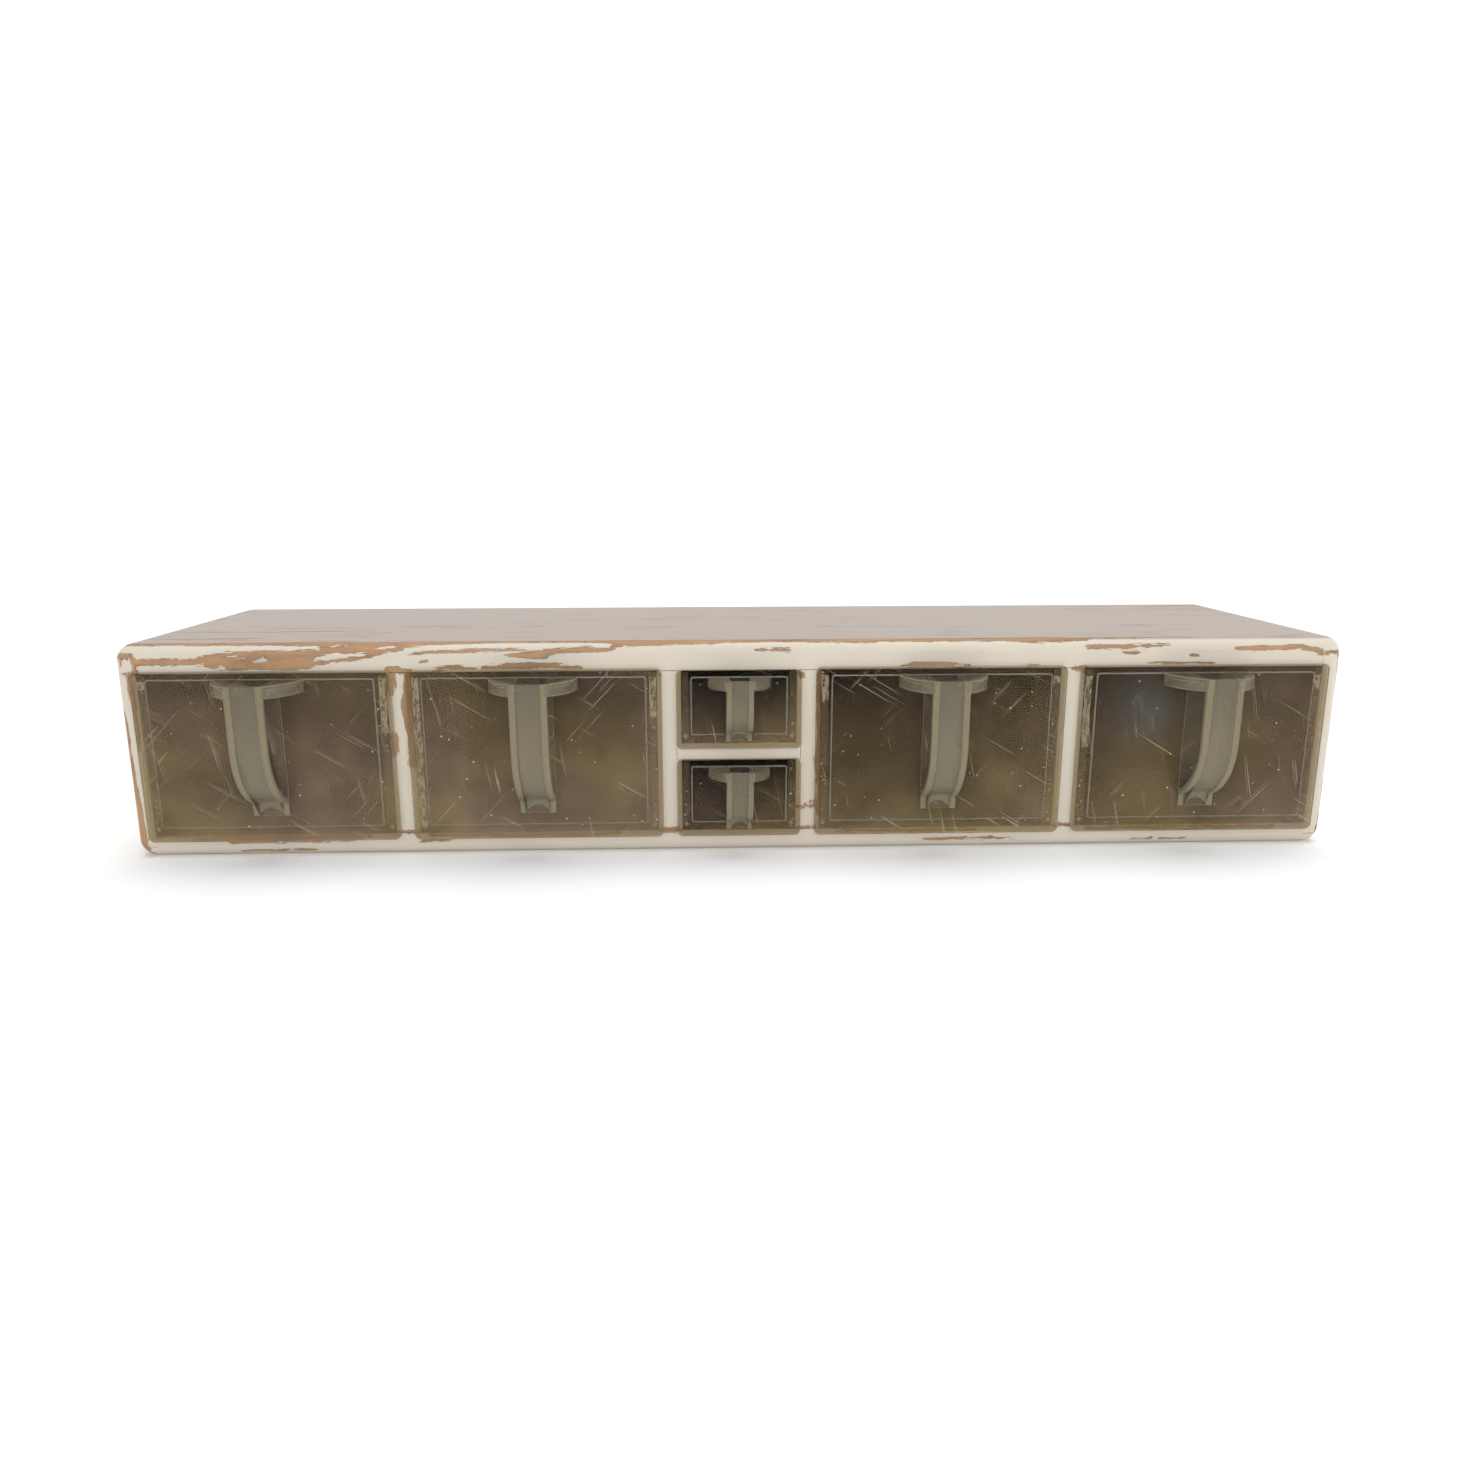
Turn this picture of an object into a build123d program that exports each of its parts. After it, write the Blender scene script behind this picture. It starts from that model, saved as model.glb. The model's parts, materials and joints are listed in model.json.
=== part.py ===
from build123d import *

import os

# A long, low wooden case with six clear plastic drawers: four large ones and, in the
# middle, two small ones above each other. Millimetres, +Z up, the drawers face -Y, and
# the origin is the centre of the case's underside.

# ---- case boards
case_depth = 175.0
case_corner_radius = 9.5  # long edges, along the depth
case_front_radius = 7.0  # rounded-over front edges
case_back_radius = 2.0
top_thickness = 16.5
top_lap = 7.5  # part of the top board that lies over the side boards
bottom_thickness = 13.0
bottom_lap = 6.0
side_thickness = 12.0
divider_thickness = 14.0
shelf_thickness = 9.8
shelf_groove_depth = 3.0
back_panel_thickness = 3.2
back_panel_ledge = 6.0  # how far the back panel reaches over the boards

# ---- cells for the drawers
cell_height = 95.0
large_cell_width = 138.5
small_cell_width = 66.0

# ---- dowels and nails that hold the case together
dowel_radius = 3.0
dowel_depth_in_board = 7.0
dowel_depth_in_divider = 11.0
dowel_end_inset = 38.0  # from the front face and from the back panel
nail_head_radius = 2.2
nail_head_thickness = 0.7
nail_shank_radius = 0.8
nail_length = 14.0
nail_edge_inset = 45.0
nails_per_row = 6
nails_per_side = 2

# ---- drawers
slide_gap = 0.4  # under the runners and behind the front plates
side_gap = 1.0
top_gap = 1.2
runner_width = 4.0
runner_height = 2.0
runner_inset = 6.2
tray_length = 165.0
tray_wall = 2.5
tray_corner_radius = 3.0
plate_thickness = 2.6
plate_corner_radius = 3.5
panel_rise = 0.4
panel_corner_radius = 1.5
panel_bottom_inset = 8.7
plate_side_overlap = 3.0
plate_bottom_overlap = 3.1

large_sizes = {
    "plate_top_overlap": 1.6,
    "panel_side_inset": 8.9,
    "panel_top_inset": 4.4,
    "strap_width": 20.8,
    "bead_width": 3.8,
    "bead_thickness": 3.0,
    "web_thickness": 1.6,
    "web_recess": 0.9,
    "standoff": 24.4,
    "straight_length": 36.0,
    "strap_arc_radius": 40.0,
    "handle_height": 79.5,
    "toe_thickness": 1.0,
    "grip_radius": 25.0,
    "grip_height": 7.0,
    "grip_wall": 2.2,
    "pad_thickness": 0.4,
}
small_sizes = {
    "plate_top_overlap": 0.5,
    "panel_side_inset": 8.4,
    "panel_top_inset": 3.8,
    "strap_width": 15.2,
    "bead_width": 3.0,
    "bead_thickness": 2.4,
    "web_thickness": 1.3,
    "web_recess": 0.6,
    "standoff": 16.0,
    "straight_length": 13.0,
    "strap_arc_radius": 20.0,
    "handle_height": 37.6,
    "toe_thickness": 0.9,
    "grip_radius": 17.7,
    "grip_height": 5.5,
    "grip_wall": 1.8,
    "pad_thickness": 0.4,
}

# ---- worked out from the above
case_width = (
    2 * side_thickness + 4 * divider_thickness + 4 * large_cell_width + small_cell_width
)
cell_top = bottom_thickness + cell_height
case_height = cell_top + top_thickness
half_width = case_width / 2
inner_half_width = half_width - side_thickness
front_y = -case_depth / 2
back_y = case_depth / 2
panel_front_y = back_y - back_panel_thickness
small_cell_height = (cell_height - shelf_thickness) / 2
shelf_bottom = bottom_thickness + small_cell_height
shelf_top = shelf_bottom + shelf_thickness
cell_pitch = large_cell_width + divider_thickness
middle_pitch = small_cell_width + divider_thickness
divider_positions = [
    -middle_pitch / 2 - cell_pitch,
    -middle_pitch / 2,
    middle_pitch / 2,
    middle_pitch / 2 + cell_pitch,
]
dowel_rows = [front_y + dowel_end_inset, panel_front_y - dowel_end_inset]
outer_cell_x = inner_half_width - large_cell_width / 2
inner_cell_x = outer_cell_x - cell_pitch

os.makedirs("parts", exist_ok=True)


def upright(y):
    """A plane facing the front at depth y: its x is X and its y is Z."""
    return Plane.XZ.offset(-y)


def write(part, name):
    """Labels a finished piece and writes it to its own file."""
    part.label = name
    export_step(part, f"parts/{name}.step")


def board_from_block(low, high, step=None):
    """In a BuildPart: the case's rounded block, cut down to one board's end outline."""
    with BuildSketch(upright(front_y)) as block:
        with Locations((0, case_height / 2)):
            RectangleRounded(case_width, case_height, case_corner_radius)
    extrude(block.sketch, amount=-case_depth)
    fillet(edges().group_by(Axis.Y)[0], case_front_radius)
    fillet(edges().group_by(Axis.Y)[-1], case_back_radius)
    with BuildSketch(upright(front_y)) as outline:
        for corner, opposite in [(low, high)] + ([step] if step else []):
            width, height = opposite[0] - corner[0], opposite[1] - corner[1]
            with Locations((corner[0], corner[1])):
                Rectangle(width, height, align=(Align.MIN, Align.MIN))
    extrude(outline.sketch, amount=-case_depth, mode=Mode.INTERSECT)


def cut_back_rabbet():
    """In a BuildPart: the recess that the back panel lies in."""
    with BuildSketch(upright(back_y)) as recess:
        with Locations((0, bottom_thickness + cell_height / 2)):
            Rectangle(
                2 * (inner_half_width + back_panel_ledge),
                cell_height + 2 * back_panel_ledge,
            )
    extrude(recess.sketch, amount=back_panel_thickness, mode=Mode.SUBTRACT)


def nail_places():
    """Where the back panel's nails go, as (x, z) at the middle of the panel's ledge."""
    low = bottom_thickness - back_panel_ledge / 2
    high = cell_top + back_panel_ledge / 2
    span = 2 * (inner_half_width - nail_edge_inset)
    rows = [
        (-span / 2 + span * i / (nails_per_row - 1), z)
        for z in (low, high)
        for i in range(nails_per_row)
    ]
    edge = inner_half_width + back_panel_ledge / 2
    sides = [
        (x, bottom_thickness + cell_height * (i + 1) / (nails_per_side + 1))
        for x in (-edge, edge)
        for i in range(nails_per_side)
    ]
    return rows + sides


def drive_nail_holes():
    """In a BuildPart: the holes that the nails' shanks fill."""
    with BuildSketch(upright(back_y)) as shanks:
        with Locations(*nail_places()):
            Circle(nail_shank_radius)
    extrude(shanks.sketch, amount=nail_length, mode=Mode.SUBTRACT)


def dowel_holes(z, amount, positions):
    """In a BuildPart: blind dowel holes from height z, downwards where amount is negative."""
    with BuildSketch(Plane.XY.offset(z)) as bores:
        with Locations(*[(x, y) for x in positions for y in dowel_rows]):
            Circle(dowel_radius)
    extrude(bores.sketch, amount=amount, mode=Mode.SUBTRACT)


# ---- the case

with BuildPart() as case_top:
    board_from_block(
        (-half_width, case_height - top_lap),
        (half_width, case_height),
        ((-inner_half_width, cell_top), (inner_half_width, case_height)),
    )
    cut_back_rabbet()
    drive_nail_holes()
    dowel_holes(cell_top, dowel_depth_in_board, divider_positions)
write(case_top.part, "case_top")

with BuildPart() as case_bottom:
    board_from_block(
        (-half_width, 0),
        (half_width, bottom_lap),
        ((-inner_half_width, 0), (inner_half_width, bottom_thickness)),
    )
    cut_back_rabbet()
    drive_nail_holes()
    dowel_holes(bottom_thickness, -dowel_depth_in_board, divider_positions)
write(case_bottom.part, "case_bottom")

for side_name, inner_x, outer_x in (
    ("left", -half_width, -inner_half_width),
    ("right", inner_half_width, half_width),
):
    with BuildPart() as case_side:
        board_from_block((inner_x, bottom_lap), (outer_x, case_height - top_lap))
        cut_back_rabbet()
        drive_nail_holes()
    write(case_side.part, f"case_{side_name}_side")

for number, divider_x in enumerate(divider_positions, 1):
    with BuildPart() as divider:
        with BuildSketch(upright(front_y)):
            with Locations((divider_x, bottom_thickness + cell_height / 2)):
                Rectangle(divider_thickness, cell_height)
        extrude(amount=front_y - panel_front_y)
        dowel_holes(bottom_thickness, dowel_depth_in_divider, [divider_x])
        dowel_holes(cell_top, -dowel_depth_in_divider, [divider_x])
        if abs(divider_x) < cell_pitch:
            with BuildSketch(upright(front_y)):
                with Locations((0, (shelf_bottom + shelf_top) / 2)):
                    Rectangle(small_cell_width + 2 * shelf_groove_depth, shelf_thickness)
            extrude(amount=front_y - panel_front_y, mode=Mode.SUBTRACT)
    write(divider.part, f"divider_{number}")

with BuildPart() as middle_shelf:
    with BuildSketch(upright(front_y)):
        with Locations((0, (shelf_bottom + shelf_top) / 2)):
            Rectangle(small_cell_width + 2 * shelf_groove_depth, shelf_thickness)
    extrude(amount=front_y - panel_front_y)
write(middle_shelf.part, "middle_shelf")

with BuildPart() as back_panel:
    with BuildSketch(upright(panel_front_y)):
        with Locations((0, bottom_thickness + cell_height / 2)):
            Rectangle(
                2 * (inner_half_width + back_panel_ledge),
                cell_height + 2 * back_panel_ledge,
            )
    extrude(amount=-back_panel_thickness)
    drive_nail_holes()
write(back_panel.part, "back_panel")

with BuildPart() as back_nails:
    with BuildSketch(upright(back_y)):
        with Locations(*nail_places()):
            Circle(nail_shank_radius)
    extrude(amount=nail_length)
    with BuildSketch(upright(back_y)):
        with Locations(*nail_places()):
            Circle(nail_head_radius)
    extrude(amount=-nail_head_thickness)
write(back_nails.part, "back_nails")

with BuildPart() as divider_dowels:
    for joint_z, down, up in (
        (bottom_thickness, dowel_depth_in_board, dowel_depth_in_divider),
        (cell_top, dowel_depth_in_divider, dowel_depth_in_board),
    ):
        with BuildSketch(Plane.XY.offset(joint_z - down)):
            with Locations(*[(x, y) for x in divider_positions for y in dowel_rows]):
                Circle(dowel_radius)
        extrude(amount=down + up)
write(divider_dowels.part, "divider_dowels")


# ---- the drawers


def make_tray(name, middle_x, floor_z, cell_w, cell_h):
    """An open-fronted box with two runners under it, cemented behind the front plate."""
    width = cell_w - 2 * side_gap
    underside = floor_z + slide_gap + runner_height
    height = floor_z + cell_h - top_gap - underside
    start_y = front_y - slide_gap
    length = tray_length + slide_gap
    with BuildPart() as tray:
        with BuildSketch(Plane.XY.offset(underside)):
            with Locations((middle_x, start_y)):
                Rectangle(width, length, align=(Align.CENTER, Align.MIN))
        extrude(amount=height)
        fillet(edges().filter_by(Axis.Z).group_by(Axis.Y)[-1], tray_corner_radius)
        with BuildSketch(Plane.XY.offset(underside + tray_wall)) as hollow:
            with Locations((middle_x, start_y)):
                Rectangle(
                    width - 2 * tray_wall,
                    length - tray_wall,
                    align=(Align.CENTER, Align.MIN),
                )
            fillet(
                hollow.vertices().group_by(Axis.Y)[-1], tray_corner_radius - tray_wall / 2
            )
        extrude(amount=height - tray_wall, mode=Mode.SUBTRACT)
        runner_x = width / 2 - runner_inset - runner_width / 2
        with BuildSketch(Plane.XY.offset(underside)):
            with Locations((middle_x - runner_x, start_y), (middle_x + runner_x, start_y)):
                Rectangle(
                    runner_width,
                    length - tray_corner_radius,
                    align=(Align.CENTER, Align.MIN),
                )
        extrude(amount=-runner_height)
    write(tray.part, f"{name}_tray")


def make_front(name, middle_x, floor_z, cell_w, cell_h, sizes):
    """The plate that covers the cell, with a slightly raised panel. Returns its top edge."""
    width = cell_w + 2 * plate_side_overlap
    low = floor_z - plate_bottom_overlap
    high = floor_z + cell_h + sizes["plate_top_overlap"]
    panel_low = low + panel_bottom_inset
    panel_high = high - sizes["panel_top_inset"]
    panel_width = width - 2 * sizes["panel_side_inset"]
    back = front_y - slide_gap
    with BuildPart() as front:
        with BuildSketch(upright(back)):
            with Locations((middle_x, (low + high) / 2)):
                RectangleRounded(width, high - low, plate_corner_radius)
        extrude(amount=plate_thickness)
        with BuildSketch(upright(back - plate_thickness)):
            with Locations((middle_x, (panel_low + panel_high) / 2)):
                RectangleRounded(panel_width, panel_high - panel_low, panel_corner_radius)
        extrude(amount=panel_rise)
    write(front.part, f"{name}_front")
    return panel_high


def strap_outline(face_y, top_z, sizes, front_gap, thickness):
    """In a BuildSketch on an X plane: the strap's side view, down to the plate.

    The strap hangs straight, then bends back to the plate on an arc. front_gap is how far
    this layer of the strap lies behind the strap's outermost face.
    """
    outer = sizes["standoff"] - front_gap
    inner = outer - thickness
    bend_z = top_z - sizes["straight_length"]
    centre_out = sizes["standoff"] - sizes["strap_arc_radius"]
    reach = {}
    for side, out in (("outer", outer), ("inner", inner)):
        radius = out - centre_out
        reach[side] = (radius, (radius**2 - centre_out**2) ** 0.5)
    with BuildLine() as outline:
        Line((face_y - inner, top_z), (face_y - outer, top_z))
        Line((face_y - outer, top_z), (face_y - outer, bend_z))
        RadiusArc(
            (face_y - outer, bend_z),
            (face_y, bend_z - reach["outer"][1]),
            -reach["outer"][0],
        )
        Line((face_y, bend_z - reach["outer"][1]), (face_y, bend_z - reach["inner"][1]))
        RadiusArc(
            (face_y, bend_z - reach["inner"][1]),
            (face_y - inner, bend_z),
            reach["inner"][0],
        )
        Line((face_y - inner, bend_z), (face_y - inner, top_z))
    make_face(outline.edges())


def make_handle(name, middle_x, top_z, sizes):
    """A hanging strap with two side beads, under a half-round grip with an open notch."""
    face_y = front_y - slide_gap - plate_thickness - panel_rise
    half_strap = sizes["strap_width"] / 2
    wall = sizes["grip_wall"]
    radius = sizes["grip_radius"]
    strap_back = sizes["standoff"] - sizes["bead_thickness"]
    bottom_z = top_z - sizes["handle_height"]
    bend_z = top_z - sizes["straight_length"]
    toe_top = bend_z - 0.8 * sizes["strap_arc_radius"]
    with BuildPart() as handle:
        # pad against the plate
        with BuildSketch(upright(face_y)):
            with Locations((middle_x, (top_z + bottom_z) / 2)):
                Rectangle(sizes["strap_width"], sizes["handle_height"])
        extrude(amount=sizes["pad_thickness"])
        # thin web, then the two thicker beads
        with BuildSketch(Plane.YZ.offset(middle_x - half_strap)):
            strap_outline(face_y, top_z, sizes, sizes["web_recess"], sizes["web_thickness"])
        extrude(amount=sizes["strap_width"])
        for side_x in (-half_strap, half_strap - sizes["bead_width"]):
            with BuildSketch(Plane.YZ.offset(middle_x + side_x)):
                strap_outline(face_y, top_z, sizes, 0, sizes["bead_thickness"])
                with BuildLine():
                    Polyline(
                        (face_y, toe_top),
                        (face_y - 2 * sizes["toe_thickness"], toe_top),
                        (face_y - sizes["toe_thickness"], bottom_z),
                        (face_y, bottom_z),
                        close=True,
                    )
                make_face()
            extrude(amount=sizes["bead_width"])
        # half-round grip: a top sheet, a rim and two walls beside the notch
        with BuildSketch(Plane.XY.offset(top_z - sizes["grip_height"])):
            with Locations((middle_x, face_y)):
                Circle(radius)
                Circle(radius - wall, mode=Mode.SUBTRACT)
                Rectangle(
                    2 * radius, radius, align=(Align.CENTER, Align.MIN), mode=Mode.SUBTRACT
                )
                Rectangle(
                    sizes["strap_width"] - 2 * wall,
                    radius,
                    align=(Align.CENTER, Align.MAX),
                    mode=Mode.SUBTRACT,
                )
            for wall_x in (-half_strap + wall / 2, half_strap - wall / 2):
                with Locations((middle_x + wall_x, face_y)):
                    Rectangle(wall, strap_back + wall / 2, align=(Align.CENTER, Align.MAX))
        extrude(amount=sizes["grip_height"])
        with BuildSketch(Plane.XY.offset(top_z - wall)):
            with Locations((middle_x, face_y)):
                Circle(radius)
                Rectangle(
                    2 * radius, radius, align=(Align.CENTER, Align.MIN), mode=Mode.SUBTRACT
                )
                Rectangle(
                    sizes["strap_width"] - 2 * wall,
                    radius,
                    align=(Align.CENTER, Align.MAX),
                    mode=Mode.SUBTRACT,
                )
        extrude(amount=wall)
    write(handle.part, f"{name}_handle")


drawers = [
    ("drawer_1", -outer_cell_x, bottom_thickness, large_cell_width, cell_height, large_sizes),
    ("drawer_2", -inner_cell_x, bottom_thickness, large_cell_width, cell_height, large_sizes),
    ("upper_small_drawer", 0, shelf_top, small_cell_width, small_cell_height, small_sizes),
    ("lower_small_drawer", 0, bottom_thickness, small_cell_width, small_cell_height, small_sizes),
    ("drawer_3", inner_cell_x, bottom_thickness, large_cell_width, cell_height, large_sizes),
    ("drawer_4", outer_cell_x, bottom_thickness, large_cell_width, cell_height, large_sizes),
]
for name, middle_x, floor_z, cell_w, cell_h, sizes in drawers:
    make_tray(name, middle_x, floor_z, cell_w, cell_h)
    handle_top = make_front(name, middle_x, floor_z, cell_w, cell_h, sizes)
    make_handle(name, middle_x, handle_top, sizes)
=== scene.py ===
import json
import math
import random

import bpy
import numpy as np
from mathutils import Euler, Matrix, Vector

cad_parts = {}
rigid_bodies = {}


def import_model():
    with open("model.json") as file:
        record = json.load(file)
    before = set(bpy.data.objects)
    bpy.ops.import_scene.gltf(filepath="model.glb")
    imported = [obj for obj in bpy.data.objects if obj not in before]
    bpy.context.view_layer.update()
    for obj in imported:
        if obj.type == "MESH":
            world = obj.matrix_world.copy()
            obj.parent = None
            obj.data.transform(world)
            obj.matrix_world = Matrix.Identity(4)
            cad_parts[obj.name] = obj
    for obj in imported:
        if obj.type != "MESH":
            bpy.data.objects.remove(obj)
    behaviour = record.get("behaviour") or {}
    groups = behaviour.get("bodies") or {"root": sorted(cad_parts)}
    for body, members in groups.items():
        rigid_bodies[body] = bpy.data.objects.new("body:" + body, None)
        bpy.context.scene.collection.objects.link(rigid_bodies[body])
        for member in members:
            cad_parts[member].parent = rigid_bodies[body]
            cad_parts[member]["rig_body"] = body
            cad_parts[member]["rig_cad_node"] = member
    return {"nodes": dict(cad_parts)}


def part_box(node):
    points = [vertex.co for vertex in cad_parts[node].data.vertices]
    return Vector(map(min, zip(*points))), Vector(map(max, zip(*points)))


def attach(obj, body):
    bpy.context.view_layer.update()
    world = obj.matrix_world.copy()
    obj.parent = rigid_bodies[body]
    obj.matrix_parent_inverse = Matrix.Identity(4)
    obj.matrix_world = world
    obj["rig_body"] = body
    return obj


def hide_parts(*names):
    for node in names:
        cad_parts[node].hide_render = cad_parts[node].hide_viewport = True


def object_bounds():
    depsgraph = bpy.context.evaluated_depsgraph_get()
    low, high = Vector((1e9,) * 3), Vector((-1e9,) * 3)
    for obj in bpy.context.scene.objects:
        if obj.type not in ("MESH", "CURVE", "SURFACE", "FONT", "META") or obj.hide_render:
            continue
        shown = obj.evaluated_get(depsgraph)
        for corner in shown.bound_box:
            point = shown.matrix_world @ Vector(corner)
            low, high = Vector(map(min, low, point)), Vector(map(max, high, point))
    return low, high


bl_info = {
    "name": "Six-Drawer Parts Organizer",
    "version": (1, 0, 0),
    "blender": (4, 5, 0),
    "location": "View3D > Sidebar > Organizer",
    "description": "Worn painted case with clear plastic drawers, built around its CAD frame",
    "category": "Object",
}

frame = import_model()
CAD_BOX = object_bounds()
NODES = frame["nodes"]
MM = 0.001

DRAWERS = [name[: -len("_front")] for name in sorted(NODES) if name.endswith("_front")]
RAILS = ("case_top", "case_bottom", "middle_shelf")
POSTS = ("case_left_side", "case_right_side", "divider_1", "divider_2", "divider_3", "divider_4")

FRONT_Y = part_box("case_top")[0].y / MM
BACK_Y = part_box("case_top")[1].y / MM
TOP_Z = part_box("case_top")[1].z / MM
HALF_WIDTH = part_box("case_right_side")[1].x / MM
CELL_HALF_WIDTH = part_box("case_right_side")[0].x / MM
CELL_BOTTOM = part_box("divider_1")[0].z / MM
CELL_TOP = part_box("divider_1")[1].z / MM
PLATE_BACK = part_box(f"{DRAWERS[0]}_front")[1].y / MM
ROUND = 7.0  # radius of the case's front edges
WALL = 2.5  # thickness of the trays' walls
RUNNER = 2.0  # height of the runners under the trays
SEAM_WIDTH = 4.0  # width of the cement on a tray wall's front end
PAD = 0.4  # thickness of the clear pad behind each handle
PAD_GAP = 0.02  # space between a handle and its pad
TOE_ARCH = (0.6, 9.4)  # lower and upper end of the web's foot, above the handle's lowest point
STRAPS = {"large": (20.8, 3.8), "small": (15.2, 3.0)}  # width of a handle's strap and beads
STRIP = 8.0  # how far behind the round front edges the boards have a fine grid
RABBET = (3.5, 6.0, 6.5)  # the unpainted rabbet at the back: its depth, and its reach to X and Z
PAINTED = -3.0  # the bare attribute well inside the paint
STRIPPED = 4.0  # the bare attribute well inside the bare wood
FLAT = math.radians(0.6)  # faces that meet at less than this are one face
SHARP = math.radians(35)  # edges that turn by more than this are rounded

# How dull each front plate is in its middle, and how that changes to the right and upwards.
HAZE = {
    "drawer_1": (0.215, 0.01, -0.19),
    "drawer_2": (0.215, 0.0, -0.25),
    "drawer_3": (0.13, 0.10, -0.22),
    "drawer_4": (0.15, 0.06, -0.15),
    "upper_small_drawer": (0.07, 0.0, -0.26),
    "lower_small_drawer": (0.08, 0.0, -0.17),
}
CLOUDED_SPOT = (0.238, -0.0909, 0.084)  # whitish bloom on the fourth drawer's front

# Where the cement holds air and looks frosted: from one height to another, in millimetres.
FROSTED = {
    "drawer_1": {"right": [(72, 106)], "left": [(98, 105)]},
    "drawer_2": {"left": [(16, 106)], "right": [(80, 106)]},
    "drawer_3": {"left": [(89, 106)], "right": [(98, 104)]},
    "drawer_4": {"left": [(60, 104)], "right": [(94, 104)]},
}

# ---- where the paint has gone, in millimetres. A stroke is a row of points (across, up,
# half width) on the case's front, where across and up run on round the front edges. An
# island is a row of the same kind, of paint that is left inside a stroke.

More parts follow.
